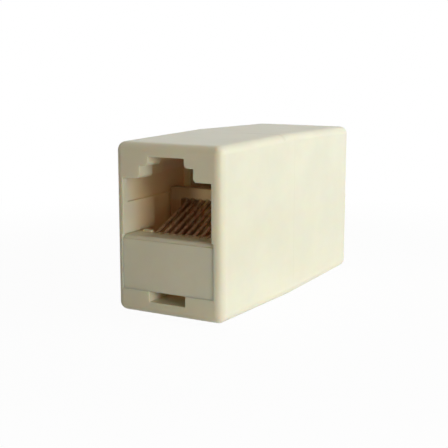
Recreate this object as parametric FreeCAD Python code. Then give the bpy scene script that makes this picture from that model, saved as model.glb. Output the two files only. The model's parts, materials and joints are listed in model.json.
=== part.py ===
import FreeCAD, Part
import math
import os

# Inline coupler that joins two eight-way modular plugs end to end.
#
# A one-piece moulded housing holds an insert in each end. Each insert carries eight sprung contact
# wires, and eight insulated leads join the front contacts to the rear ones, pin for pin, so they
# cross over in the middle of the housing.
#
# Frame: millimetres, +Z up, +Y along the body from the front socket to the rear one, +X to the
# right of someone who looks into the front socket. The origin is under the middle of the body.
# The front end is modelled, and the rear end is the same turned half round about Z.

Vector = FreeCAD.Vector

# Housing, outside
body_length = 36.4
end_width = 14.2
end_height = 20.0
side_draft = 0.7            # degrees, the sides lean out from an end to the parting line
top_draft = 0.92            # degrees, top and underside
upright_radius = 1.2        # the four upright edges of an end
long_radius = 0.75          # long edges, and the top and bottom edges of an end

# Socket mouth in the housing
plug_width = 11.86          # between the guide rails
plug_height = 6.73          # from the insert's ledge up to the shoulders
lower_key_width = 7.2
lower_key_height = 1.52
upper_key_width = 4.8
upper_key_height = 1.06
roof_thickness = 1.54       # over the upper key, at an end
key_corner = 0.3            # chamfer where the lower key opens into the plug's space
mouth_chamfer = 0.4         # lead-in round the mouth
lip_depth = 0.9             # the mouth's full-height lip, in front of the rails
shoulder_depth = 6.7        # the plug's latch catches behind this
rail_height = 3.75
rail_depth = 6.5

# Housing, inside
floor_thickness = 2.75
middle_width = 10.8         # narrower bore in the middle, whose ends stop the inserts
channel_width = 4.9         # release channel under the insert
channel_height = 1.25
channel_depth = 8.0
catch_depth = 4.1           # cross bar in the channel that holds the insert's hook
catch_length = 0.95
catch_height = 0.7

# Insert
insert_width = 12.2
insert_gap = 0.08           # on each side, in the housing
insert_setback = 0.3        # its front panel lies this far inside the end face
insert_depth = 13.9
ledge_depth = 3.5
ledge_radius = 0.55
base_drop = 1.15            # from the ledge down to the base behind it
comb_face_depth = 11.0
comb_thickness = 1.4
comb_rise = 6.55            # above the ledge
comb_gap = 0.08             # between the comb and a guide rail
comb_slot_depth = 1.1
comb_slot_width = 0.62
groove_gap = 0.04           # beside a contact in its groove
nose_gap = 0.08             # round the bend of a contact
stop_bar_width = 1.15       # raised bars beside the row of contacts
stop_bar_height = 0.22
stop_bar_depth = 0.5
rail_clearance = 0.06       # between the ledge and the underside of a guide rail

# Snap latch under the insert
tongue_width = 3.8
tongue_thickness = 0.95
tongue_slit = 0.4           # round the tongue
tongue_root_depth = 1.8
tongue_relief = 0.9         # room above the tongue to bend into
hook_height = 0.8
hook_flat = 0.5
hook_gap = 0.05             # between the hook and the catch
hook_width = 3.2

# Contacts
contact_count = 8
contact_pitch = 1.02
contact_diameter = 0.45
contact_slope = 22.5        # degrees, the sprung part above level
contact_sink = 0.15         # its centre line below the ledge where it comes out
contact_bend_radius = 0.7
contact_run_drop = 0.7      # its lower run below the base's top
contact_tip_gap = 0.12      # from the tip to the back of its comb slot
comb_slot_rise = 0.1        # free height above the tip

# Splice sleeves and leads
splice_diameter = 0.84
splice_length = 1.6
splice_start_gap = 0.05     # behind the comb
crimp_gap = 0.05            # between a contact's tail and the lead's core
lead_diameter = 0.7
lead_level_pitch = 0.9      # between leads that cross over
lead_floor_gap = 0.6        # under the lowest lead
lead_straight = 1.05        # along Y out of the splice
lead_ramp = 1.6             # along Y while a lead changes level
core_overlap = 0.2          # of a lead's core inside its insulation
arc_share = 0.45            # of the shorter run beside each bend
arc_step = 20               # degrees of a bend to each straight facet
wire_sides = 8              # wires, sleeves and leads are eight-sided, by their width over flats

# Derived places
side_growth = body_length / 2 * math.tan(math.radians(side_draft))
top_growth = body_length / 2 * math.tan(math.radians(top_draft))
front = -body_length / 2
end_floor = top_growth
floor_top = end_floor + floor_thickness
upper_key_top = end_floor + end_height - roof_thickness
lower_key_top = upper_key_top - upper_key_height
shoulder_under = lower_key_top - lower_key_height
ledge_top = shoulder_under - plug_height
rail_floor = ledge_top + rail_clearance
base_top = ledge_top - base_drop
comb_top = ledge_top + comb_rise
bore_half = insert_width / 2 + insert_gap
run_z = base_top - contact_run_drop
groove_floor = run_z - contact_diameter / 2
comb_back_depth = comb_face_depth + comb_thickness
splice_start = comb_back_depth + splice_start_gap
splice_end = splice_start + splice_length
cut_margin = 1.0            # how far a cutting solid runs past what it cuts


def at(depth):
    """Y of a place that lies this deep inside the front end face."""
    return front + depth


def box(x_low, x_high, y_low, y_high, z_low, z_high):
    """A box between two opposite corners."""
    size = Vector(x_high - x_low, y_high - y_low, z_high - z_low)
    return Part.makeBox(size.x, size.y, size.z, Vector(x_low, y_low, z_low))


def centred_box(width, y_low, y_high, z_low, z_high):
    """A box that lies the same distance to each side of the body's middle plane."""
    return box(-width / 2, width / 2, y_low, y_high, z_low, z_high)


def prism(points, direction):
    """The solid that a closed outline sweeps along a vector."""
    outline = Part.makePolygon(points + points[:1])
    return Part.Face(outline).extrude(direction)


def side_profile(points, x_middle, width):
    """A prism of a side-view outline, given as (y, z), centred on x_middle."""
    corners = [Vector(x_middle - width / 2, y, z) for y, z in points]
    return prism(corners, Vector(width, 0, 0))


def turned(shape):
    """The same shape at the other end of the body."""
    other = shape.copy()
    other.rotate(Vector(0, 0, 0), Vector(0, 0, 1), 180)
    return other


def at_both_ends(shape):
    return [shape, turned(shape)]


def contact_x(number):
    """X of a front contact, counted from 1 at the left."""
    return (number - (contact_count + 1) / 2) * contact_pitch


def lies_at(edge, y):
    return all(abs(vertex.Y - y) < 1e-4 for vertex in edge.Vertexes)


def body_half():
    """The solid front half of the body, drafted and rounded."""
    half_width = end_width / 2
    end_top = end_floor + end_height
    half = Part.makeWedge(
        -half_width, front, end_floor, end_floor - top_growth, -half_width - side_growth,
        half_width, 0, end_top, end_top + top_growth, half_width + side_growth,
    )
    upright = [
        edge for edge in half.Edges
        if lies_at(edge, front) and abs(edge.tangentAt(edge.FirstParameter).z) > 0.9
    ]
    half = half.makeFillet(upright_radius, upright)
    rims = []
    for face in half.Faces:
        if abs(face.normalAt(0, 0).z) > 0.9:
            rims += [edge for edge in face.Edges if not lies_at(edge, 0)]
    return half.makeFillet(long_radius, rims)


def mouth_outline():
    """Half of the mouth's front view as (x, z), from its floor to the top of the upper key."""
    shoulder_x = lower_key_width / 2
    upper_x = upper_key_width / 2
    return [
        (plug_width / 2, rail_floor),
        (plug_width / 2, shoulder_under),
        (shoulder_x + key_corner, shoulder_under),
        (shoulder_x, shoulder_under + key_corner),
        (shoulder_x, lower_key_top),
        (upper_x, lower_key_top),
        (upper_x, upper_key_top),
    ]


def cut_mouth(body):
    """The keyed mouth with its chamfered front edge, at the front end."""
    right = mouth_outline()
    left = [(-x, z) for x, z in reversed(right)]
    corners = [Vector(x, front - cut_margin, z) for x, z in right + left]
    body = body.cut(prism(corners, Vector(0, shoulder_depth + cut_margin, 0)))
    rim = [
        edge for edge in body.Edges
        if lies_at(edge, front) and all(abs(v.X) < plug_width / 2 + 1e-4 for v in edge.Vertexes)
        and all(rail_floor - 1e-4 < v.Z < upper_key_top + 1e-4 for v in edge.Vertexes)
    ]
    return body.makeChamfer(mouth_chamfer, rim)


def housing_room():
    """What is hollow behind the mouth: the insert's bore, the rails' relief and the latch's room."""
    rail_top = ledge_top + rail_height
    bore = 2 * bore_half
    stop = at(insert_depth)
    channel_floor = floor_top - channel_height
    channel = centred_box(channel_width, front - cut_margin, at(channel_depth), channel_floor, floor_top)
    catch = centred_box(
        channel_width, at(catch_depth), at(catch_depth + catch_length),
        channel_floor, channel_floor + catch_height,
    )
    return [
        centred_box(bore, front - cut_margin, stop, floor_top, rail_floor),
        centred_box(bore, at(lip_depth), stop, rail_top, shoulder_under),
        centred_box(bore, at(rail_depth), stop, floor_top, shoulder_under),
        centred_box(bore, at(shoulder_depth), stop, floor_top, upper_key_top),
        channel.cut(catch),
    ]


def make_housing():
    half = body_half()
    body = half.fuse(half.mirror(Vector(0, 0, 0), Vector(0, 1, 0)))
    body = cut_mouth(body)
    body = turned(cut_mouth(turned(body)))
    middle_start = at(insert_depth) - cut_margin
    rooms = [centred_box(middle_width, middle_start, -middle_start, floor_top, upper_key_top)]
    for room in housing_room():
        rooms += at_both_ends(room)
    return body.cut(rooms)


def contact_geometry():
    """Side view of a contact as (depth, z): the centre of its bend, and its tip."""
    slope = math.radians(contact_slope)
    rise_z = ledge_top - contact_sink
    centre_z = run_z + contact_bend_radius
    drop = (rise_z - centre_z) * math.cos(slope)
    centre_depth = ledge_depth + (contact_bend_radius - drop) / math.sin(slope)
    tip_depth = comb_face_depth + comb_slot_depth - contact_tip_gap
    tip = (tip_depth, rise_z + (tip_depth - ledge_depth) * math.tan(slope))
    return (centre_depth, centre_z), tip


def contact_slot(number):
    """What one contact needs cut from the insert: its groove, its nose slot and its comb slot."""
    (centre_depth, _), tip = contact_geometry()
    slope = math.radians(contact_slope)
    x = contact_x(number)
    groove_width = contact_diameter + 2 * groove_gap
    nose = centre_depth - contact_bend_radius - contact_diameter / 2 - nose_gap
    roof = ledge_top - contact_sink + (contact_diameter / 2 + nose_gap) / math.cos(slope)
    top = ledge_top + stop_bar_height
    nose_slot = side_profile(
        [
            (at(nose), groove_floor),
            (at(nose), roof - (ledge_depth - nose) * math.tan(slope)),
            (at(ledge_depth - (roof - top) / math.tan(slope)), top),
            (at(comb_face_depth), top),
            (at(comb_face_depth), groove_floor),
        ],
        x, groove_width,
    )
    groove = side_profile(
        [
            (at(comb_face_depth), groove_floor),
            (at(comb_face_depth), base_top),
            (at(comb_back_depth), base_top),
            (at(comb_back_depth), groove_floor),
        ],
        x, groove_width,
    )
    slot_top = tip[1] + contact_diameter / 2 / math.cos(slope) + comb_slot_rise
    comb_slot = side_profile(
        [
            (at(comb_face_depth), base_top),
            (at(comb_face_depth), slot_top),
            (at(comb_face_depth + comb_slot_depth), slot_top),
            (at(comb_face_depth + comb_slot_depth), base_top),
        ],
        x, comb_slot_width,
    )
    return [nose_slot, groove, comb_slot]


def make_tongue():
    """The sprung tongue under the insert and its hook, and the pocket that frees them."""
    root = at(tongue_root_depth)
    hook_face = at(catch_depth + catch_length + hook_gap)
    end = at(channel_depth)
    under = floor_top - hook_height
    pocket = centred_box(
        tongue_width + 2 * tongue_slit, root, end + tongue_slit,
        floor_top, floor_top + tongue_thickness + tongue_relief,
    )
    tongue = centred_box(tongue_width, root, end, floor_top, floor_top + tongue_thickness)
    hook = side_profile(
        [(hook_face, floor_top), (hook_face, under), (hook_face + hook_flat, under), (end, floor_top)],
        0, hook_width,
    )
    return pocket, tongue.fuse(hook)


def make_insert():
    panel = at(insert_setback)
    base = centred_box(insert_width, panel, at(comb_back_depth), floor_top, base_top)
    ledge = centred_box(insert_width, panel, at(ledge_depth), floor_top, ledge_top)
    block = base.fuse(ledge).removeSplitter()
    lip = [
        edge for edge in block.Edges
        if lies_at(edge, panel) and all(abs(v.Z - ledge_top) < 1e-4 for v in edge.Vertexes)
    ]
    block = block.makeFillet(ledge_radius, lip)
    comb_width = plug_width - 2 * comb_gap
    comb = centred_box(
        comb_width, at(comb_face_depth), at(comb_back_depth), floor_top, comb_top
    )
    shelf_top = run_z - splice_diameter / 2
    shelf = centred_box(insert_width, at(ledge_depth), at(insert_depth), floor_top, shelf_top)
    row_half = contact_x(contact_count) + contact_pitch / 2
    bar = box(
        row_half, row_half + stop_bar_width,
        at(ledge_depth - stop_bar_depth), at(ledge_depth), floor_top, ledge_top + stop_bar_height,
    )
    pocket, tongue = make_tongue()
    body = block.fuse([comb, shelf] + at_both_sides(bar)).removeSplitter()
    cuts = [pocket]
    for number in range(1, contact_count + 1):
        cuts += contact_slot(number)
    return body.cut(cuts).fuse(tongue).removeSplitter()


def at_both_sides(shape):
    return [shape, shape.mirror(Vector(0, 0, 0), Vector(1, 0, 0))]


def arc_points(start, centre, axis, turn):
    """Points along an arc, from its start through a turn in degrees about an axis."""
    steps = math.ceil(turn / arc_step)
    spoke = start - centre
    return [
        centre + FreeCAD.Rotation(axis, turn * step / steps).multVec(spoke) for step in range(steps + 1)
    ]


def planar_face(points):
    return Part.Face(Part.makePolygon(points + points[:1]))


def first_ring(start, along, diameter):
    """An eight-sided section with flats below and at the sides, square to a run along Y."""
    across = along.cross(Vector(0, 0, 1)).normalize()
    upward = across.cross(along).normalize()
    corner_radius = diameter / 2 / math.cos(math.pi / wire_sides)
    ring = []
    for corner in range(wire_sides):
        angle = 2 * math.pi * (corner + 0.5) / wire_sides
        ring.append(start + (across * math.cos(angle) + upward * math.sin(angle)) * corner_radius)
    return ring


def swept_wire(points, diameter):
    """An eight-sided wire along a route, mitred where the route turns."""
    runs = [(after - before).normalize() for before, after in zip(points, points[1:])]
    ring = first_ring(points[0], runs[0], diameter)
    faces = [planar_face(ring)]
    for index, run in enumerate(runs):
        end = points[index + 1]
        normal = (run + runs[index + 1]).normalize() if index + 1 < len(runs) else run
        ahead = [corner + run * ((end - corner).dot(normal) / run.dot(normal)) for corner in ring]
        for near, far in zip(range(wire_sides), list(range(1, wire_sides)) + [0]):
            faces.append(planar_face([ring[near], ring[far], ahead[far], ahead[near]]))
        ring = ahead
    faces.append(planar_face(ring))
    solid = Part.Solid(Part.makeShell(faces))
    return solid if solid.Volume > 0 else solid.reversed()


def make_contact(number):
    """A sprung wire: along its groove, round the bend and up the slope to the comb."""
    (centre_depth, centre_z), tip = contact_geometry()
    x = contact_x(number)

    def place(depth, z):
        return Vector(x, at(depth), z)

    tail_depth = splice_start + (splice_length - crimp_gap) / 2
    bend = arc_points(
        place(centre_depth, run_z), place(centre_depth, centre_z), Vector(-1, 0, 0), 180 - contact_slope
    )
    return swept_wire([place(tail_depth, run_z)] + bend + [place(*tip)], contact_diameter)


def make_splice(number):
    """A crimped sleeve over a contact's tail and a lead's core."""
    start = Vector(contact_x(number), at(splice_start), run_z)
    end = start + Vector(0, splice_length, 0)
    sleeve = swept_wire([start, end], splice_diameter)
    bore = swept_wire([start, end], contact_diameter)
    return sleeve.cut(bore)


def rounded_route(points):
    """The points of a route whose corners are arcs as large as the runs beside them allow."""
    route = [points[0]]
    for before, corner, after in zip(points, points[1:], points[2:]):
        back = (before - corner).normalize()
        ahead = (after - corner).normalize()
        reach = arc_share * min(before.distanceToPoint(corner), after.distanceToPoint(corner))
        half_turn = (math.pi - back.getAngle(ahead)) / 2
        centre = corner + (back + ahead).normalize() * (reach / math.sin(half_turn))
        axis = ahead.cross(back)
        route += arc_points(corner + back * reach, centre, axis, math.degrees(2 * half_turn))
    return route + [points[-1]]


def lead_level(number):
    """Height at which a lead crosses over, the last one lowest. None lies at the splices' height."""
    lowest = floor_top + lead_floor_gap + lead_diameter / 2
    levels_up = contact_count - number
    if number <= contact_count // 2:
        levels_up += 1
    return lowest + lead_level_pitch * levels_up


def make_lead(number):
    """An insulated lead from a front splice to the rear splice of the same pin."""
    x = contact_x(number)
    level = lead_level(number)
    y_end = at(splice_end)
    y_turn = y_end + lead_straight
    y_cross = y_turn + lead_ramp
    ahead = [Vector(x, y_end, run_z), Vector(x, y_turn, run_z), Vector(x, y_cross, level)]
    behind = [Vector(-point.x, -point.y, point.z) for point in reversed(ahead)]
    lead = swept_wire(rounded_route(ahead + behind), lead_diameter)
    core_start = splice_start + (splice_length + crimp_gap) / 2
    core = swept_wire(
        [Vector(x, at(core_start), run_z), Vector(x, y_end + core_overlap, run_z)], contact_diameter
    )
    return lead.fuse([core, turned(core)])


def make_parts():
    parts = {"housing": make_housing()}
    insert = make_insert()
    parts["front_insert"] = insert
    parts["rear_insert"] = turned(insert)
    for number in range(1, contact_count + 1):
        contact = make_contact(number)
        splice = make_splice(number)
        parts[f"front_contact_{number}"] = contact
        parts[f"rear_contact_{number}"] = turned(contact)
        parts[f"front_splice_{number}"] = splice
        parts[f"rear_splice_{number}"] = turned(splice)
        parts[f"lead_{number}"] = make_lead(number)
    return parts


os.makedirs("parts", exist_ok=True)
for node, shape in make_parts().items():
    shape.exportStep(f"parts/{node}.step")
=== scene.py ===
"""Finishes the inline cable coupler: plastic, contact wires, splices, leads and a small studio."""

import json
import math

import bmesh
import bpy
from mathutils import Matrix, Vector

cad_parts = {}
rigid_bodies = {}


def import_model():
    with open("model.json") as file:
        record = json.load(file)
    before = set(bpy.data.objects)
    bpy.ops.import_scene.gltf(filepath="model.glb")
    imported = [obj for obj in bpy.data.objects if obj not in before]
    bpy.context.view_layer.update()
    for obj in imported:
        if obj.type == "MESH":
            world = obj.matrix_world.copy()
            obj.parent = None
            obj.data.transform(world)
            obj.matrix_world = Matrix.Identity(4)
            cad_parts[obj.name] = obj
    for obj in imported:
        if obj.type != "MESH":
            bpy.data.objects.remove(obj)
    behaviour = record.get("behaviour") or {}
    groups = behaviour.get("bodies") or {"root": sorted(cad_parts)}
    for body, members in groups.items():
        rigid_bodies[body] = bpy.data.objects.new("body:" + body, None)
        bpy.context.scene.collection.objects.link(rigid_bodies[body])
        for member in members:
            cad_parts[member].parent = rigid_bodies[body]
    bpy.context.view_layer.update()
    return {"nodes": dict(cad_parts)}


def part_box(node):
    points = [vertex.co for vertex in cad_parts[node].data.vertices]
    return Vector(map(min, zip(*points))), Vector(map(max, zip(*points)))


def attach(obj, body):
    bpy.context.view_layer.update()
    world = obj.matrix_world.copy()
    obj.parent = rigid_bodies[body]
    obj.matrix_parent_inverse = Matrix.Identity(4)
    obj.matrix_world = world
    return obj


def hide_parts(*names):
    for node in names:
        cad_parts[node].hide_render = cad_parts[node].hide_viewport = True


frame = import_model()

bl_info = {
    "name": "Inline Cable Coupler",
    "version": (1, 0, 0),
    "blender": (4, 5, 0),
    "location": "View3D > Sidebar > Coupler",
    "description": "Models and finishes the visible pieces of an inline cable coupler",
    "category": "Object",
}

MM = 0.001
CONTACTS = 8
LEADS = ("blue", "orange", "black", "red", "green", "yellow", "brown", "white")


def cad_middle(node):
    low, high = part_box(node)
    return (low + high) / 2


def cad_size(node):
    low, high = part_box(node)
    return high - low


# ---------------------------------------------------------------- settings

def colour_setting(name, description, default):
    return bpy.props.FloatVectorProperty(
        name=name, description=description, default=default, size=3, min=0, max=1, subtype="COLOR"
    )


def length_setting(name, description, default):
    return bpy.props.FloatProperty(
        name=name, description=description, default=default, min=0, precision=5, unit="LENGTH"
    )


class PlasticSettings(bpy.types.PropertyGroup):
    housing_colour: colour_setting("Housing", "Colour of the moulded housing", (0.80, 0.768, 0.61))
    insert_colour: colour_setting("Insert", "Colour of the moulded inserts", (0.78, 0.755, 0.62))
    edge_round: length_setting("Edge round", "Radius left on the moulded edges", 0.05 * MM)
    edge_steps: bpy.props.IntProperty(
        name="Edge steps", description="Facets across each rounded edge", default=3, min=1, max=8
    )


class HousingSettings(bpy.types.PropertyGroup):
    end_width: length_setting("End width", "Width of the housing at an end", 14.3 * MM)
    end_height: length_setting("End height", "Height of the housing at an end", 20.0 * MM)
    end_shift: length_setting("End shift", "How far an end's middle lies right of its mouth", 0.12 * MM)
    corner_round: length_setting("Corner round", "Radius of the housing's outer edges", 1.0 * MM)
    corner_steps: bpy.props.IntProperty(
        name="Corner steps", description="Facets across each outer edge", default=7, min=1
    )
    floor_thickness: length_setting("Floor", "Thickness of the housing's floor", 2.75 * MM)
    plug_width: length_setting("Plug width", "Width of the mouth between the guide rails", 11.86 * MM)
    plug_height: length_setting("Plug height", "Height from the ledge to the shoulders", 6.73 * MM)
    lower_key_width: length_setting("Lower key width", "Width of the lower key", 7.2 * MM)
    lower_key_height: length_setting("Lower key height", "Height of the lower key", 1.52 * MM)
    upper_key_width: length_setting("Upper key width", "Width of the upper key", 4.8 * MM)
    upper_key_height: length_setting("Upper key height", "Height of the upper key", 1.06 * MM)
    key_depth: length_setting("Key depth", "Depth at which the keys widen", 2.7 * MM)
    key_relief: length_setting("Key relief", "How much each side of the keys widens", 1.2 * MM)
    key_corner: length_setting("Key corner", "Chamfer of the keys' outward corners", 0.3 * MM)
    roof_thickness: length_setting("Roof", "Thickness of plastic over the upper key", 1.54 * MM)
    lip_depth: length_setting("Lip", "Depth of the full-height lip of the mouth", 0.9 * MM)
    shoulder_depth: length_setting("Shoulder", "Depth of the shoulders that catch a plug's latch", 6.7 * MM)
    rail_height: length_setting("Rail height", "Height of the guide rails over the ledge", 3.75 * MM)
    side_width: length_setting("Side width", "Width of the room above the guide rails", 12.8 * MM)
    rail_depth: length_setting("Rail depth", "Depth at which the guide rails end", 6.5 * MM)
    bore_width: length_setting("Bore width", "Width of the bore that holds an insert", 12.36 * MM)
    bore_depth: length_setting("Bore depth", "Depth of the bore that holds an insert", 13.9 * MM)
    middle_width: length_setting("Middle width", "Width of the bore between the inserts", 10.8 * MM)
    channel_width: length_setting("Channel width", "Width of the release channel", 4.9 * MM)
    channel_height: length_setting("Channel height", "Height of the release channel", 1.25 * MM)
    channel_depth: length_setting("Channel depth", "Depth of the release channel", 8.0 * MM)
    catch_depth: length_setting("Catch depth", "Depth of the catch in the channel", 4.1 * MM)
    catch_length: length_setting("Catch length", "Length of the catch in the channel", 0.95 * MM)
    catch_height: length_setting("Catch height", "Height of the catch in the channel", 0.7 * MM)


class InsertSettings(bpy.types.PropertyGroup):
    comb_depth: length_setting("Comb depth", "Depth of the wires' ends inside the end face", 11.0 * MM)
    comb_shift: length_setting("Comb shift", "How far the comb stands before the wires' ends", 1.1 * MM)
    panel_shift: length_setting("Panel shift", "How far the front panel comes forward", 0.18 * MM)
    recess_width: length_setting("Recess width", "Width of the recess under the comb's bar", 8.6 * MM)
    recess_depth: length_setting("Recess depth", "Depth of the recess under the comb's bar", 0.8 * MM)
    base_drop: length_setting("Base drop", "Drop from the ledge to the base behind it", 1.15 * MM)
    ledge_top: length_setting("Ledge top", "Height of the ledge in front of the wires", 9.442 * MM)
    ledge_depth: length_setting("Ledge depth", "Depth at which the ledge ends", 3.5 * MM)
    notch_length: length_setting("Ledge notch length", "Length of the notch in front of a wire", 1.0 * MM)
    notch_width: length_setting("Ledge notch width", "Width of the notch in front of a wire", 0.56 * MM)
    notch_depth: length_setting("Ledge notch depth", "Depth of the notch in front of a wire", 0.45 * MM)
    side_shift: length_setting("Side shift", "How far each side of an insert fills its gap", 0.055 * MM)
    comb_drop: length_setting("Comb drop", "Height that the comb's top edge loses", 2.05 * MM)


class ContactSettings(bpy.types.PropertyGroup):
    gold_colour: colour_setting("Plating", "Colour of the contacts' gold plating", (0.52, 0.37, 0.24))
    bend_radius: length_setting("Bend radius", "Centre line radius of a contact's bend", 0.7 * MM)
    slope: bpy.props.FloatProperty(
        name="Slope", description="Angle of a contact's sprung part above level",
        default=math.radians(22.5), unit="ROTATION",
    )
    wire_sides: bpy.props.IntProperty(
        name="Wire sides", description="Sides of a contact wire's round section", default=16, min=8
    )
    bend_steps: bpy.props.IntProperty(
        name="Bend steps", description="Facets along a contact's bend", default=18, min=6
    )


class LeadSettings(bpy.types.PropertyGroup):
    tin_colour: colour_setting("Splice", "Colour of the tinned splice sleeves", (0.66, 0.65, 0.62))
    insulation: length_setting("Insulation", "Diameter of a lead over its insulation", 0.7 * MM)
    straight: length_setting("Straight", "Length of a lead from its splice to its first bend", 1.05 * MM)
    ramp: length_setting("Ramp", "Length over which a lead changes level", 1.6 * MM)
    bend: length_setting("Bend", "How far from each turn a lead starts to bend", 0.441 * MM)
    blue: colour_setting("Blue", "Insulation of lead 1", (0.03, 0.09, 0.36))
    orange: colour_setting("Orange", "Insulation of lead 2", (0.78, 0.22, 0.03))
    black: colour_setting("Black", "Insulation of lead 3", (0.02, 0.02, 0.022))
    red: colour_setting("Red", "Insulation of lead 4", (0.55, 0.03, 0.03))
    green: colour_setting("Green", "Insulation of lead 5", (0.03, 0.26, 0.08))
    yellow: colour_setting("Yellow", "Insulation of lead 6", (0.82, 0.62, 0.05))
    brown: colour_setting("Brown", "Insulation of lead 7", (0.19, 0.085, 0.04))
    white: colour_setting("White", "Insulation of lead 8", (0.80, 0.80, 0.76))


class StudioSettings(bpy.types.PropertyGroup):
    lens: bpy.props.FloatProperty(
        name="Lens", description="Focal length of the camera", default=74.45, unit="CAMERA"
    )
    camera_place: bpy.props.FloatVectorProperty(
        name="Camera place", description="Where the camera stands",
        default=(57.18 * MM, -104.55 * MM, 29.47 * MM), subtype="TRANSLATION", unit="LENGTH",
    )
    camera_turn: bpy.props.FloatVectorProperty(
        name="Camera turn", description="How the camera is turned",
        default=(math.radians(79.99), 0, math.radians(29.88)), subtype="EULER", unit="ROTATION",
    )
    key_power: bpy.props.FloatProperty(
        name="Key", description="Power of the lamp in front on the right", default=0.53, unit="POWER"
    )
    side_power: bpy.props.FloatProperty(
        name="Side", description="Power of the lamp behind on the right", default=0.74, unit="POWER"
    )
    top_power: bpy.props.FloatProperty(
        name="Top", description="Power of the lamp above", default=0.31, unit="POWER"
    )
    fill_power: bpy.props.FloatProperty(
        name="Fill", description="Power of the warm lamp in front", default=0.15, unit="POWER"
    )
    ambient: bpy.props.FloatProperty(
        name="Ambient", description="Strength of the light from all round", default=0.1
    )


# ---------------------------------------------------------------- material nodes

class Signal:
    """An output socket in a material's node tree. Arithmetic on numbers adds Math nodes."""

    def __init__(self, tree, socket=None):
        self.tree = tree
        self.socket = socket

    def node(self, kind, settings=None, inputs=None, output=0):
        """Adds a node: its settings first, then the values or links of its sockets."""
        node = self.tree.nodes.new("ShaderNode" + kind)
        for name, value in (settings or {}).items():
            setattr(node, name, value)
        for name, value in (inputs or {}).items():
            if isinstance(value, Signal):
                self.tree.links.new(value.socket, node.inputs[name])
            else:
                node.inputs[name].default_value = value
        return Signal(self.tree, node.outputs[output] if node.outputs else None)

    def math(self, operation, *operands):
        return self.node("Math", {"operation": operation}, dict(enumerate(operands)))

    def __add__(self, other):
        return self.math("ADD", self, other)

    def __sub__(self, other):
        return self.math("SUBTRACT", self, other)

    def __mul__(self, other):
        return self.math("MULTIPLY", self, other)

    def __rsub__(self, other):
        return self.math("SUBTRACT", other, self)

    def __abs__(self):
        return self.math("ABSOLUTE", self)

    __radd__ = __add__
    __rmul__ = __mul__

    def ramp(self, low, high, to_low=0.0, to_high=1.0):
        """A smooth step from one value to another."""
        return self.node(
            "MapRange", {"interpolation_type": "SMOOTHSTEP"},
            {0: self, 1: low, 2: high, 3: to_low, 4: to_high},
        )

    def blend(self, low, high):
        """The colour between two colours that this number picks."""
        return self.node(
            "Mix", {"data_type": "RGBA", "clamp_factor": True}, {0: self, 6: low, 7: high}, output=2
        )

    def tinted(self, share, factors):
        """This colour multiplied by another, as far as a share from nought to one says."""
        return self.node(
            "Mix", {"data_type": "RGBA", "blend_type": "MULTIPLY"},
            {0: share, 6: self, 7: (*factors, 1)}, output=2,
        )

    def scaled(self, factors):
        return self.node("VectorMath", {"operation": "MULTIPLY"}, {0: self, 1: factors})

    def axes(self):
        """The place across the body, along it and upwards."""
        return [self.node("SeparateXYZ", inputs={0: self}, output=index) for index in range(3)]

    def noise(self, scale, detail=2.0, roughness=0.5):
        return self.node("TexNoise", inputs={
            "Vector": self, "Scale": scale, "Detail": detail, "Roughness": roughness,
        })

    def relief(self, strength, distance):
        return self.node("Bump", inputs={"Strength": strength, "Distance": distance, "Height": self})


def new_finish(name):
    """An empty material and the millimetre coordinates of the surface."""
    material = bpy.data.materials.new(name)
    material.use_nodes = True
    material.node_tree.nodes.clear()
    start = Signal(material.node_tree)
    place = start.node("TexCoord", output=3)
    return material, place.scaled((1 / MM, 1 / MM, 1 / MM))


def shaded(start, constants, inputs):
    """A Principled surface on the material's output."""
    surface = start.node("BsdfPrincipled", inputs={**constants, **inputs})
    start.node("OutputMaterial", inputs={"Surface": surface})


def opaque(colour, share=1.0):
    return (*[channel * share for channel in colour], 1)


def shade_of(colour, *shares):
    """A colour whose channels are each scaled by a share of their own."""
    return (*[channel * share for channel, share in zip(colour, shares)], 1)


def add_mould_marks(place, colour, base, height):
    """Adds a parting line round the middle, a shallow dent on the roof darkened with painted shade, and
    rings underneath.
    """
    ring_radius, ring_across, ring_along = 1.2, 4.2, 11.5
    roof_dent_place = -2.8
    across, along, upward = place.axes()
    parting = 1 - abs(along).ramp(0.02, 0.10)
    base = (parting * 0.12).blend(base, shade_of(colour, 0.66, 0.60, 0.47))
    roof_dent = (1 - abs(along - roof_dent_place).ramp(0.05, 0.55)) * upward.ramp(19.6, 20.0)
    roof_dent = roof_dent * across.ramp(0.0, 1.4)
    # Painted shade: the roof's shallow dent is darkened in colour as well as dented by the bump.
    base = (roof_dent * 0.30).blend(base, shade_of(colour, 0.74, 0.70, 0.60))
    rings = 0
    for x in (-ring_across, ring_across):
        for y in (-ring_along, ring_along):
            spread = (across - x) * (across - x) + (along - y) * (along - y)
            rings = 1 - abs(spread - ring_radius ** 2).ramp(0.08, 0.34) + rings
    rings = rings * (1 - upward.ramp(0.35, 0.75))
    base = (rings * 0.22).blend(base, shade_of(colour, 0.70, 0.65, 0.54))
    return base, height + parting * 0.4 - roof_dent * 1.5 - rings * 1.4


def inside_housing(place):
    """One within the housing's walls, and nought on its outside and near its mouths."""
    across, along, upward = place.axes()
    inside = (1 - abs(across).ramp(6.5, 6.7)) * (1 - abs(along).ramp(13.5, 17.6))
    return inside * upward.ramp(1.0, 1.4) * (1 - upward.ramp(19.0, 19.3))


def shade_comb(place, base):
    """Paints the shade at the ends of the comb and low behind the ledge."""
    across, along, upward = place.axes()
    comb_ends = abs(across).ramp(0.6, 3.4) * (1 - abs(along).ramp(10.0, 11.0))
    behind_ledge = (1 - abs(along).ramp(13.7, 14.7)) * (1 - upward.ramp(12.2, 12.5))
    return base.tinted(comb_ends, (0.42, 0.34, 0.28)).tinted(behind_ledge, (1.0, 0.84, 0.72))


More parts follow.
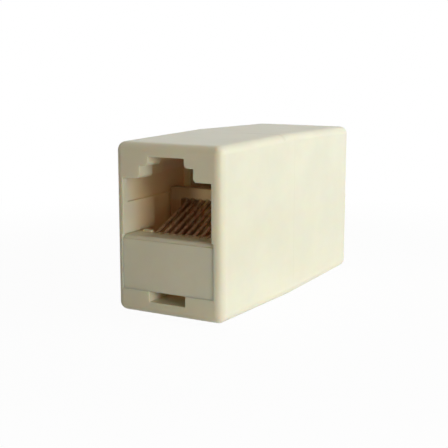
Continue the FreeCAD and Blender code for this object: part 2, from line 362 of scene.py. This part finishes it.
def moulded_plastic(name, colour, is_housing):
    """Ivory moulded plastic: mottled, finely grained, with flow lines, specks, scuffs and scratches.

    The warm shade inside the mouths is painted: it goes by place and doesn't follow the lamps.
    """
    material, place = new_finish(name)
    mottle = place.noise(0.16, 3.0, 0.55)
    flow = place.scaled((0.5, 0.05, 0.35)).noise(1.0, 3.0)
    specks = place.noise(2.6, 4.0, 0.65).ramp(0.69, 0.76)
    base = mottle.ramp(0.3, 0.7).blend(opaque(colour, 0.97), opaque(colour, 1.02))
    base = (flow.ramp(0.4, 0.7) * 0.35).blend(base, shade_of(colour, 0.985, 0.965, 0.92))
    base = (specks * 0.10).blend(base, shade_of(colour, 0.55, 0.48, 0.38))
    scuffs = place.scaled((1.2, 0.22, 3.4)).noise(1.4, 5.0, 0.7).ramp(0.60, 0.72)
    scratches = place.scaled((0.35, 5.0, 2.1)).noise(1.0, 4.0, 0.6).ramp(0.655, 0.70)
    grain = place.noise(7.5, 3.0, 0.6)
    height = grain * 0.35 + place.noise(0.45, 1.0) * 1.6 - scratches * 0.25
    if is_housing:
        base, height = add_mould_marks(place, colour, base, height)
    base = base.tinted(inside_housing(place), (1.12, 0.94, 0.77))
    if not is_housing:
        base = shade_comb(place, base)
    roughness = 0.33 + mottle * 0.08 + grain * 0.05 + scuffs * 0.12 + scratches * 0.10
    shaded(place, {
        "IOR": 1.53,
        "Subsurface Weight": 0.7,
        "Subsurface Radius": (1.0, 0.60, 0.36),
        "Subsurface Scale": 1.1 * MM,
    }, {
        "Base Color": base,
        "Roughness": roughness,
        "Normal": height.relief(0.35, 0.02 * MM),
    })
    return material


def gold_plate(name, colour):
    """Thin gold on a drawn wire, browner where it has worn."""
    material, place = new_finish(name)
    drawn = place.scaled((22.0, 1.2, 22.0)).noise(1.0, 3.0)
    worn = place.noise(1.7, 4.0, 0.65)
    base = worn.ramp(0.42, 0.66).blend(opaque(colour), shade_of(colour, 0.62, 0.50, 0.42))
    base = (drawn * 0.25).blend(base, opaque(colour, 1.12))
    shaded(place, {"Metallic": 1.0}, {
        "Base Color": base,
        "Roughness": 0.48 + worn * 0.16 + drawn * 0.06,
        "Normal": drawn.relief(0.25, 0.006 * MM),
    })
    return material


def dull_tin(name, colour):
    """Crimped tinned copper: dull, with patches where the crimp has rubbed it bright."""
    material, place = new_finish(name)
    patches = place.noise(2.4, 4.0, 0.6)
    fine = place.noise(14.0, 2.0)
    base = patches.ramp(0.4, 0.7).blend(opaque(colour, 0.82), opaque(colour, 1.05))
    shaded(place, {"Metallic": 1.0}, {
        "Base Color": base,
        "Roughness": 0.34 + patches * 0.2,
        "Normal": fine.relief(0.3, 0.008 * MM),
    })
    return material


def lead_skin(name, colour):
    """Soft insulation, a little cloudy, with fine lines along it."""
    material, place = new_finish(name)
    cloud = place.noise(0.7, 3.0)
    lines = place.scaled((9.0, 0.9, 9.0)).noise(1.0, 2.0)
    base = cloud.ramp(0.35, 0.7).blend(opaque(colour, 0.86), opaque(colour, 1.08))
    shaded(place, {"IOR": 1.5}, {
        "Base Color": base,
        "Roughness": 0.36 + cloud * 0.14 + lines * 0.06,
        "Normal": (lines + cloud * 0.5).relief(0.25, 0.012 * MM),
    })
    return material


# ---------------------------------------------------------------- modelling

def deselect():
    if bpy.context.object and bpy.context.object.mode != "OBJECT":
        bpy.ops.object.mode_set(mode="OBJECT")
    bpy.ops.object.select_all(action="DESELECT")


def activate(piece):
    deselect()
    piece.select_set(True)
    bpy.context.view_layer.objects.active = piece


def named(piece, name):
    piece.name = name
    piece.data.name = name
    return piece


def finish_piece(piece, material, nodes):
    """Gives a piece its finish, fixes it to the root body and hides the CAD nodes it stands for."""
    activate(piece)
    bpy.ops.object.transform_apply(location=True, rotation=True, scale=True)
    piece.data.materials.clear()
    piece.data.materials.append(material)
    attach(piece, "root")
    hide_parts(*nodes)


def join_faces(piece):
    """Merges double vertices and joins the facets that lie in one plane."""
    activate(piece)
    bpy.ops.object.mode_set(mode="EDIT")
    bpy.ops.mesh.select_all(action="SELECT")
    bpy.ops.mesh.remove_doubles(threshold=0.002 * MM)
    bpy.ops.mesh.dissolve_limited(angle_limit=math.radians(0.6))
    bpy.ops.object.mode_set(mode="OBJECT")


def whole_faces(node, name):
    """A copy of a CAD node whose triangles are joined into whole faces."""
    activate(frame["nodes"][node])
    bpy.ops.object.duplicate()
    piece = named(bpy.context.object, name)
    bpy.ops.object.parent_clear(type="CLEAR_KEEP_TRANSFORM")
    for key in [key for key in piece.keys() if key.startswith("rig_")]:
        del piece[key]
    join_faces(piece)
    return piece


def select_edges(piece, test):
    """Enters edit mode with the edges selected that pass a test."""
    activate(piece)
    bpy.ops.object.mode_set(mode="EDIT")
    bpy.ops.mesh.select_mode(type="EDGE")
    bpy.ops.mesh.select_all(action="DESELECT")
    mesh = bmesh.from_edit_mesh(piece.data)
    for edge in mesh.edges:
        edge.select_set(test(edge))
    mesh.select_flush_mode()


def select_faces(piece, test):
    """Enters edit mode with the faces selected that pass a test."""
    activate(piece)
    bpy.ops.object.mode_set(mode="EDIT")
    bpy.ops.mesh.select_mode(type="FACE")
    bpy.ops.mesh.select_all(action="DESELECT")
    mesh = bmesh.from_edit_mesh(piece.data)
    for face in mesh.faces:
        face.select_set(test(face))
    mesh.select_flush_mode()


def move_vertices(piece, test, step):
    """Moves the vertices whose places pass a test."""
    activate(piece)
    bpy.ops.object.mode_set(mode="EDIT")
    bpy.ops.mesh.select_mode(type="VERT")
    bpy.ops.mesh.select_all(action="DESELECT")
    mesh = bmesh.from_edit_mesh(piece.data)
    for vertex in mesh.verts:
        vertex.select_set(test(vertex.co))
    mesh.select_flush_mode()
    bpy.ops.transform.translate(value=step)
    bpy.ops.object.mode_set(mode="OBJECT")


def cut_room(piece, half_width, start, end, bottom, top, x=0.0):
    """Cuts a box out of a piece."""
    deselect()
    bpy.ops.mesh.primitive_cube_add(size=1, location=(x, (start + end) / 2, (bottom + top) / 2))
    room = bpy.context.object
    bpy.ops.transform.resize(value=(2 * half_width, end - start, top - bottom))
    bpy.ops.object.transform_apply(location=True, rotation=True, scale=True)
    activate(piece)
    bpy.ops.object.modifier_add(type="BOOLEAN")
    cut = piece.modifiers[-1]
    cut.operation = "DIFFERENCE"
    cut.solver = "EXACT"
    cut.object = room
    bpy.ops.object.modifier_apply(modifier=cut.name)
    activate(room)
    bpy.ops.object.delete()


def round_edges(piece, width, steps):
    """Rounds every sharp edge by a moulded radius and keeps the flats flat."""
    activate(piece)
    bpy.ops.object.modifier_add(type="BEVEL")
    bevel = piece.modifiers[-1]
    bevel.width = width
    bevel.segments = steps
    bevel.limit_method = "ANGLE"
    bevel.angle_limit = math.radians(30)
    bevel.miter_outer = "MITER_ARC"
    bevel.use_clamp_overlap = False
    bpy.ops.object.modifier_apply(modifier=bevel.name)
    bpy.ops.object.shade_smooth_by_angle(angle=math.radians(50))
    bpy.ops.object.modifier_add(type="WEIGHTED_NORMAL")
    weighted = piece.modifiers[-1]
    weighted.keep_sharp = True
    bpy.ops.object.modifier_apply(modifier=weighted.name)


def copied(piece, name, shift, turn):
    """A copy of a piece with its own mesh, moved and turned about the body's upright axis."""
    activate(piece)
    bpy.ops.object.duplicate()
    copy = named(bpy.context.object, name)
    copy.matrix_world = Matrix.Rotation(turn, 4, "Z") @ Matrix.Translation(shift)
    bpy.ops.object.transform_apply(location=True, rotation=True, scale=True)
    return copy


def both_ends(first, name, nodes):
    """Copies a left-hand front piece to its row of eight, and the row to the rear end."""
    pitch = cad_middle(nodes.format("front", 2)).x - cad_middle(nodes.format("front", 1)).x
    row = []
    for end, turn in (("front", 0.0), ("rear", math.pi)):
        for number in range(1, CONTACTS + 1):
            shift = Vector(((number - 1) * pitch, 0, 0))
            row.append((copied(first, name.format(end, number), shift, turn), nodes.format(end, number)))
    activate(first)
    bpy.ops.object.delete()
    return row


def start_ring(centre, radius, sides):
    """A filled ring square to the body's length, in edit mode and all selected."""
    deselect()
    bpy.ops.mesh.primitive_circle_add(
        vertices=sides, radius=radius, fill_type="NGON", location=centre, rotation=(math.pi / 2, 0, 0)
    )
    bpy.ops.object.transform_apply(location=True, rotation=True, scale=True)
    bpy.ops.object.mode_set(mode="EDIT")
    bpy.ops.mesh.select_mode(type="VERT")
    bpy.ops.mesh.select_all(action="SELECT")


def push(step):
    bpy.ops.mesh.extrude_region_move(TRANSFORM_OT_translate={"value": step})


def close_piece(angle):
    """Points all faces outwards, leaves edit mode and shades the rounds smooth."""
    bpy.ops.mesh.select_all(action="SELECT")
    bpy.ops.mesh.remove_doubles(threshold=0.0005 * MM)
    bpy.ops.mesh.normals_make_consistent(inside=False)
    bpy.ops.object.mode_set(mode="OBJECT")
    bpy.ops.object.shade_smooth_by_angle(angle=math.radians(angle))
    return bpy.context.object


# ---------------------------------------------------------------- operators

class COUPLER_OT_housing(bpy.types.Operator):
    """Moulded housing with a keyed socket mouth in each end"""
    bl_idname = "coupler.housing"
    bl_label = "Housing"

    def execute(self, context):
        plastic = context.scene.coupler_plastic
        sizes = context.scene.coupler_housing
        housing = self.block(sizes)
        for half_width, start, end, bottom, top in self.rooms(sizes):
            cut_room(housing, half_width, start, end, bottom, top)
            cut_room(housing, half_width, -end, -start, bottom, top)
        join_faces(housing)
        self.ease_keys(housing, sizes)
        round_edges(housing, plastic.edge_round, plastic.edge_steps)
        finish = moulded_plastic("ivory_housing", plastic.housing_colour, is_housing=True)
        finish_piece(housing, finish, ["housing"])
        return {"FINISHED"}

    def block(self, sizes):
        """The solid body: drafted from each end to the parting line, with rounded outer edges."""
        low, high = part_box("housing")
        middle = (low + high) / 2
        grow = ((high.x - low.x) / sizes.end_width, (high.z - low.z) / sizes.end_height)
        deselect()
        bpy.ops.mesh.primitive_plane_add(
            size=1, location=(middle.x + sizes.end_shift, low.y, middle.z), rotation=(math.pi / 2, 0, 0)
        )
        bpy.ops.transform.resize(value=(sizes.end_width, 1, sizes.end_height))
        bpy.ops.object.transform_apply(location=True, rotation=True, scale=True)
        bpy.ops.object.mode_set(mode="EDIT")
        bpy.ops.mesh.select_all(action="SELECT")
        for wide, tall in (grow, (1 / grow[0], 1 / grow[1])):
            push((-sizes.end_shift, middle.y - low.y, 0))
            bpy.ops.transform.resize(value=(wide, 1, tall))
        piece = close_piece(30)
        corner_angle = 1.0
        select_edges(piece, lambda edge: edge.calc_face_angle(0) > corner_angle)
        bpy.ops.mesh.bevel(offset=sizes.corner_round, segments=sizes.corner_steps, profile=0.5)
        bpy.ops.object.mode_set(mode="OBJECT")
        return named(piece, "moulded_housing")

    def levels(self, sizes):
        """Heights of the shoulders and of both keys, from the body's outside down."""
        low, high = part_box("housing")
        upper = (low.z + high.z + sizes.end_height) / 2 - sizes.roof_thickness
        lower = upper - sizes.upper_key_height
        return lower - sizes.lower_key_height, lower, upper

    def rooms(self, sizes):
        """Half width, start and end along Y, bottom and top of everything hollow at the front end."""
        low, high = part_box("housing")
        shoulder, lower, upper = self.levels(sizes)
        ledge = shoulder - sizes.plug_height
        floor = (low.z + high.z - sizes.end_height) / 2 + sizes.floor_thickness
        channel = floor - sizes.channel_height
        bore = sizes.bore_width / 2
        over = 1 * MM
        rail_gap = 0.06 * MM
        catch_end = sizes.catch_depth + sizes.catch_length
        catch_top = channel + sizes.catch_height
        channel_half = sizes.channel_width / 2
        lower_half = sizes.lower_key_width / 2
        upper_half = sizes.upper_key_width / 2
        middle_end = high.y - low.y - sizes.bore_depth
        keys_end = sizes.shoulder_depth + over
        rooms = [
            (bore, -over, sizes.bore_depth, floor, ledge + rail_gap),
            (sizes.plug_width / 2, -over, sizes.shoulder_depth, ledge - over, shoulder),
            (lower_half, -over, sizes.key_depth + over, shoulder - over, lower),
            (upper_half, -over, sizes.key_depth + over, lower - over, upper),
            (lower_half + sizes.key_relief, sizes.key_depth, keys_end, shoulder - over, lower),
            (upper_half + sizes.key_relief, sizes.key_depth, keys_end, lower - over, upper),
            (sizes.side_width / 2, sizes.lip_depth, sizes.bore_depth, ledge + sizes.rail_height, shoulder),
            (bore, sizes.rail_depth, sizes.bore_depth, floor, shoulder),
            (bore, sizes.shoulder_depth, sizes.bore_depth, floor, upper),
            (sizes.middle_width / 2, sizes.bore_depth - over, middle_end, floor, upper),
            (channel_half, -over, sizes.catch_depth, channel, floor + over),
            (channel_half, sizes.catch_depth - over, catch_end + over, catch_top, floor + over),
            (channel_half, catch_end, sizes.channel_depth, channel, floor + over),
        ]
        return [
            (half_width, low.y + start, low.y + end, bottom, top)
            for half_width, start, end, bottom, top in rooms
        ]

    def ease_keys(self, housing, sizes):
        """Chamfers the outward corners where each key opens into the room under it."""
        shoulder, lower, _ = self.levels(sizes)
        corners = ((sizes.lower_key_width / 2, shoulder), (sizes.upper_key_width / 2, lower))
        near, short = 0.01 * MM, 0.1 * MM

        def is_corner(edge):
            start, end = (vertex.co for vertex in edge.verts)
            runs_back = abs(start.y - end.y) > short
            return runs_back and any(abs(abs(start.x) - x) + abs(start.z - z) < near for x, z in corners)

        select_edges(housing, is_corner)
        bpy.ops.mesh.bevel(offset=sizes.key_corner, segments=1)
        bpy.ops.object.mode_set(mode="OBJECT")


class COUPLER_OT_inserts(bpy.types.Operator):
    """Moulded insert in each end, with its comb of contact slots"""
    bl_idname = "coupler.inserts"
    bl_label = "Inserts"

    def execute(self, context):
        plastic = context.scene.coupler_plastic
        sizes = context.scene.coupler_insert
        finish = moulded_plastic("ivory_insert", plastic.insert_colour, is_housing=False)
        front = whole_faces("front_insert", "front_moulded_insert")
        self.cut_slots(front, sizes)
        self.set_comb(front, sizes, context.scene.coupler_contacts.slope)
        round_edges(front, plastic.edge_round / 2, plastic.edge_steps - 1)
        rear = copied(front, "rear_moulded_insert", Vector(), math.pi)
        finish_piece(front, finish, ["front_insert"])
        finish_piece(rear, finish, ["rear_insert"])
        return {"FINISHED"}

    def cut_slots(self, insert, sizes):
        """Cuts the ledge's notches in front of the wires and the recess under the comb's bar."""
        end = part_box("housing")[0].y
        ledge = end + sizes.ledge_depth
        over = 0.05 * MM
        for number in range(1, CONTACTS + 1):
            cut_room(
                insert, sizes.notch_width / 2, ledge - sizes.notch_length, ledge + over,
                sizes.ledge_top - sizes.notch_depth, sizes.ledge_top + MM,
                cad_middle(f"front_contact_{number}").x,
            )
        face = end + sizes.comb_depth
        foot = self.under_base(sizes) + 0.12 * MM
        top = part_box("front_contact_1")[1].z
        cut_room(insert, sizes.recess_width / 2, face - MM, face + sizes.recess_depth, foot, top)
        join_faces(insert)

    def under_base(self, sizes):
        """A height just under the top of the base that the comb stands on."""
        return sizes.ledge_top - sizes.base_drop - 0.05 * MM

    def set_comb(self, insert, sizes, slope):
        """Brings the panel and the comb nearer the mouth, and lowers the comb's bar and slots."""
        low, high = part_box("front_insert")
        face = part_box("housing")[0].y + sizes.comb_depth
        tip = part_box("front_contact_1")[1].z
        base = self.under_base(sizes)
        near, slot_room = 0.01 * MM, 0.4 * MM
        lowered = sizes.comb_shift * math.tan(slope)
        move_vertices(insert, lambda place: place.y < low.y + near, (0, -sizes.panel_shift, 0))
        for side in (-1, 1):
            step = (side * sizes.side_shift, 0, 0)
            move_vertices(insert, lambda place: place.x * side > high.x - near, step)
        move_vertices(insert, lambda place: place.z > high.z - near, (0, 0, -sizes.comb_drop))
        move_vertices(insert, lambda place: (
            tip - near < place.z < tip + slot_room and place.y > face - near
        ), (0, 0, -lowered))
        move_vertices(insert, lambda place: (
            place.y > face - near and place.z > base
        ), (0, -sizes.comb_shift, 0))


class COUPLER_OT_contacts(bpy.types.Operator):
    """Sixteen sprung contact wires, bent at the ledge and sloping up to the comb"""
    bl_idname = "coupler.contacts"
    bl_label = "Contacts"

    def execute(self, context):
        settings = context.scene.coupler_contacts
        low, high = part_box("front_contact_1")
        radius = (high.x - low.x) / 2
        run_z = low.z + radius
        bend = Vector((
            (low.x + high.x) / 2, low.y + radius + settings.bend_radius, run_z + settings.bend_radius,
        ))
        slope = Vector((0, math.cos(settings.slope), math.sin(settings.slope)))
        bend_top = bend.z + settings.bend_radius * slope.y
        shift = context.scene.coupler_insert.comb_shift
        rise = high.z - radius * slope.y - bend_top - shift * slope.z / slope.y
        start_ring(Vector((bend.x, high.y, run_z)), radius, settings.wire_sides)
        push((0, bend.y - high.y, 0))
        bpy.ops.mesh.spin(
            steps=settings.bend_steps, angle=math.pi - settings.slope, center=bend, axis=(1, 0, 0)
        )
        push(slope * (rise / slope.z))
        tip_inset, tip_reach = radius * 0.3, radius * 0.2
        bpy.ops.mesh.inset(thickness=tip_inset, depth=tip_reach)
        contact = close_piece(40)
        finish = gold_plate("contact_plating", settings.gold_colour)
        for piece, node in both_ends(contact, "{}_contact_wire_{}", "{}_contact_{}"):
            finish_piece(piece, finish, [node])
        return {"FINISHED"}


class COUPLER_OT_splices(bpy.types.Operator):
    """Sixteen crimped sleeves that join the contacts to the leads"""
    bl_idname = "coupler.splices"
    bl_label = "Splices"

    def execute(self, context):
        settings = context.scene.coupler_leads
        low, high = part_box("front_splice_1")
        middle = (low + high) / 2
        radius = (high.x - low.x) / 2
        bore = cad_size("front_contact_1").x / 2
        length = high.y - low.y
        sides = 20
        profile = [
            (0.0, 0.86), (0.04, 0.97), (0.09, 1.0), (0.22, 1.0), (0.28, 0.9), (0.36, 0.9), (0.42, 1.0),
            (0.58, 1.0), (0.64, 0.9), (0.72, 0.9), (0.78, 1.0), (0.91, 1.0), (0.96, 0.97), (1.0, 0.86),
        ]
        start_ring(Vector((middle.x, low.y, middle.z)), bore, sides)
        bpy.ops.mesh.delete(type="ONLY_FACE")
        bpy.ops.mesh.select_all(action="SELECT")
        before, size = 0.0, bore
        for share, wide in profile + [(1.0, bore / radius)]:
            bpy.ops.mesh.extrude_edges_move(
                TRANSFORM_OT_translate={"value": (0, (share - before) * length, 0)}
            )
            grow = wide * radius / size
            bpy.ops.transform.resize(
                value=(grow, 1, grow), center_override=(middle.x, low.y + share * length, middle.z)
            )
            before, size = share, wide * radius
        bpy.ops.mesh.extrude_edges_move(TRANSFORM_OT_translate={"value": (0, -length, 0)})
        sleeve = close_piece(35)
        finish = dull_tin("splice_tinning", settings.tin_colour)
        for piece, node in both_ends(sleeve, "{}_splice_sleeve_{}", "{}_splice_{}"):
            finish_piece(piece, finish, [node])
        return {"FINISHED"}


class COUPLER_OT_leads(bpy.types.Operator):
    """Eight insulated leads that cross over between the inserts"""
    bl_idname = "coupler.leads"
    bl_label = "Leads"

    def execute(self, context):
        settings = context.scene.coupler_leads
        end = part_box("front_splice_1")[1].y
        run_z = cad_middle("front_splice_1").z
        core = cad_size("front_contact_1").x
        for number, name in enumerate(LEADS, 1):
            low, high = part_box(f"lead_{number}")
            x = cad_middle(f"front_splice_{number}").x
            above = high.z - run_z > run_z - low.z
            level = high.z - settings.insulation / 2 if above else low.z + settings.insulation / 2
            turn = end + settings.straight
            cross = turn + settings.ramp
            half = [Vector((x, end, run_z)), Vector((x, turn, run_z)), Vector((x, cross, level))]
            route = half + [Vector((-p.x, -p.y, p.z)) for p in reversed(half)]
            lead = self.sleeve(route, settings.insulation, settings.bend, core, high.y + end)
            named(lead, f"{name}_lead")
            finish = lead_skin(f"{name}_insulation", getattr(settings, name))
            finish_piece(lead, finish, [f"lead_{number}"])
        return {"FINISHED"}

    def sleeve(self, route, diameter, bend, core, length):
        """A round lead along a route, with its bends eased and a length of bare core at each end."""
        deselect()
        # The route is drawn from a single vertex, which is left when a small ring is merged.
        bpy.ops.mesh.primitive_circle_add(vertices=3, radius=MM, location=(0, 0, 0), enter_editmode=True)
        bpy.ops.mesh.select_mode(type="VERT")
        bpy.ops.mesh.merge(type="CENTER")
        bpy.ops.transform.translate(value=route[0])
        for before, after in zip(route, route[1:]):
            bpy.ops.mesh.extrude_vertices_move(TRANSFORM_OT_translate={"value": after - before})
        bpy.ops.mesh.select_all(action="SELECT")
        mesh = bmesh.from_edit_mesh(bpy.context.object.data)
        for vertex in mesh.verts:
            vertex.select_set(len(vertex.link_edges) == 2)
        mesh.select_flush_mode()
        bpy.ops.mesh.bevel(affect="VERTICES", offset=bend, segments=6, offset_type="OFFSET")
        bpy.ops.object.mode_set(mode="OBJECT")
        bpy.ops.object.convert(target="CURVE")
        line = bpy.context.object.data
        line.bevel_depth = diameter / 2
        line.bevel_resolution = 4
        line.use_fill_caps = True
        bpy.ops.object.convert(target="MESH")
        lead = bpy.context.object
        end = abs(route[0].y) - 0.01 * MM
        select_faces(lead, lambda face: abs(face.calc_center_median().y) > end)
        bpy.ops.mesh.inset(thickness=(diameter - core) / 2)
        bpy.ops.mesh.extrude_faces_move(TRANSFORM_OT_shrink_fatten={"value": length})
        return close_piece(40)


class COUPLER_OT_studio(bpy.types.Operator):
    """Pale floor, soft lamps, a white surround and the camera"""
    bl_idname = "coupler.studio"
    bl_label = "Studio"

    # Colour, size and distance in metres, azimuth and elevation in degrees
    LAMPS = {
        "key": ((1.0, 0.99, 0.96), 0.13, 0.36, -22, 6),
        "side": ((0.84, 0.92, 1.0), 0.20, 0.36, 20, 25),
        "top": ((1.0, 0.97, 0.84), 0.30, 0.45, 60, 80),
        "fill": ((1.0, 0.72, 0.30), 0.25, 0.50, -75, 8),
    }

    def execute(self, context):
        settings = context.scene.coupler_studio
        self.floor()
        for name, look in self.LAMPS.items():
            self.lamp(f"{name}_lamp", getattr(settings, f"{name}_power"), *look)
        self.surround(settings.ambient)
        self.camera(settings)
        context.scene.view_settings.view_transform = "Standard"
        return {"FINISHED"}

    def seen_directly(self, start):
        """One on camera, glossy and transmission rays, and nought on the rest."""
        rays = [start.node("LightPath", output=name) for name in
                ("Is Camera Ray", "Is Glossy Ray", "Is Transmission Ray")]
        return start.math("MAXIMUM", rays[0], start.math("MAXIMUM", rays[1], rays[2]))

    def floor(self):
        deselect()
        bpy.ops.mesh.primitive_plane_add(size=3)
        floor = named(bpy.context.object, "floor")
        material = bpy.data.materials.new("white_floor")
        material.use_nodes = True
        material.node_tree.nodes.clear()
        start = Signal(material.node_tree)
        paint = start.node("BsdfDiffuse", inputs={"Color": (0.86, 0.855, 0.84, 1)})
        glow = start.node("Emission", inputs={"Color": (1, 1, 1, 1), "Strength": 1.0})
        place = start.node("TexCoord", output=3)
        away = place.node("VectorMath", {"operation": "LENGTH"}, {0: place}, output=1)
        near, far, near_glow = 40 * MM, 90 * MM, 0.965
        shown = self.seen_directly(start) * away.ramp(near, far, near_glow, 1.0)
        mixed = start.node("MixShader", inputs={0: shown, 1: paint, 2: glow})
        start.node("OutputMaterial", inputs={"Surface": mixed})
        floor.data.materials.append(material)

    def lamp(self, name, power, colour, size, distance, azimuth, elevation):
        """A square soft lamp aimed at the middle of the coupler."""
        deselect()
        aim = Vector((0, 0, 10 * MM))
        level = math.cos(math.radians(elevation))
        towards = Vector((
            level * math.cos(math.radians(azimuth)), level * math.sin(math.radians(azimuth)),
            math.sin(math.radians(elevation)),
        ))
        bpy.ops.object.light_add(type="AREA", location=aim + towards * distance)
        lamp = named(bpy.context.object, name)
        lamp.rotation_euler = (-towards).to_track_quat("-Z", "Y").to_euler()
        lamp.data.energy = power
        lamp.data.color = colour
        lamp.data.size = size

    def surround(self, ambient):
        world = bpy.data.worlds.new("surround")
        world.use_nodes = True
        world.node_tree.nodes.clear()
        start = Signal(world.node_tree)
        seen = self.seen_directly(start)
        light = start.node("Background", inputs={
            "Color": seen.blend((1, 0.90, 0.68, 1), (1, 1, 1, 1)),
            "Strength": ambient + seen * (1 - ambient),
        })
        start.node("OutputWorld", inputs={"Surface": light})
        bpy.context.scene.world = world

    def camera(self, settings):
        deselect()
        bpy.ops.object.camera_add(location=settings.camera_place, rotation=settings.camera_turn)
        camera = named(bpy.context.object, "camera")
        camera.data.lens = settings.lens
        camera.data.clip_start = 1 * MM
        bpy.context.scene.camera = camera


class COUPLER_PT_sidebar(bpy.types.Panel):
    """Lists the coupler's pieces and their settings"""
    bl_label = "Inline Cable Coupler"
    bl_idname = "COUPLER_PT_sidebar"
    bl_space_type = "VIEW_3D"
    bl_region_type = "UI"
    bl_category = "Coupler"

    def draw(self, context):
        for operator in OPERATORS:
            self.layout.operator(operator.bl_idname)
        for name, group in SETTINGS.items():
            box = self.layout.box()
            for setting in group.__annotations__:
                box.prop(getattr(context.scene, name), setting)


SETTINGS = {
    "coupler_plastic": PlasticSettings,
    "coupler_housing": HousingSettings,
    "coupler_insert": InsertSettings,
    "coupler_contacts": ContactSettings,
    "coupler_leads": LeadSettings,
    "coupler_studio": StudioSettings,
}
OPERATORS = (
    COUPLER_OT_housing,
    COUPLER_OT_inserts,
    COUPLER_OT_contacts,
    COUPLER_OT_splices,
    COUPLER_OT_leads,
    COUPLER_OT_studio,
)


def register():
    for group in (*SETTINGS.values(), *OPERATORS, COUPLER_PT_sidebar):
        bpy.utils.register_class(group)
    for name, group in SETTINGS.items():
        setattr(bpy.types.Scene, name, bpy.props.PointerProperty(type=group))


def unregister():
    for name in SETTINGS:
        delattr(bpy.types.Scene, name)
    for group in (COUPLER_PT_sidebar, *reversed(OPERATORS), *reversed(SETTINGS.values())):
        bpy.utils.unregister_class(group)


def main():
    register()
    bpy.ops.coupler.housing()
    bpy.ops.coupler.inserts()
    bpy.ops.coupler.contacts()
    bpy.ops.coupler.splices()
    bpy.ops.coupler.leads()
    bpy.ops.coupler.studio()


if __name__ == "__main__":
    main()
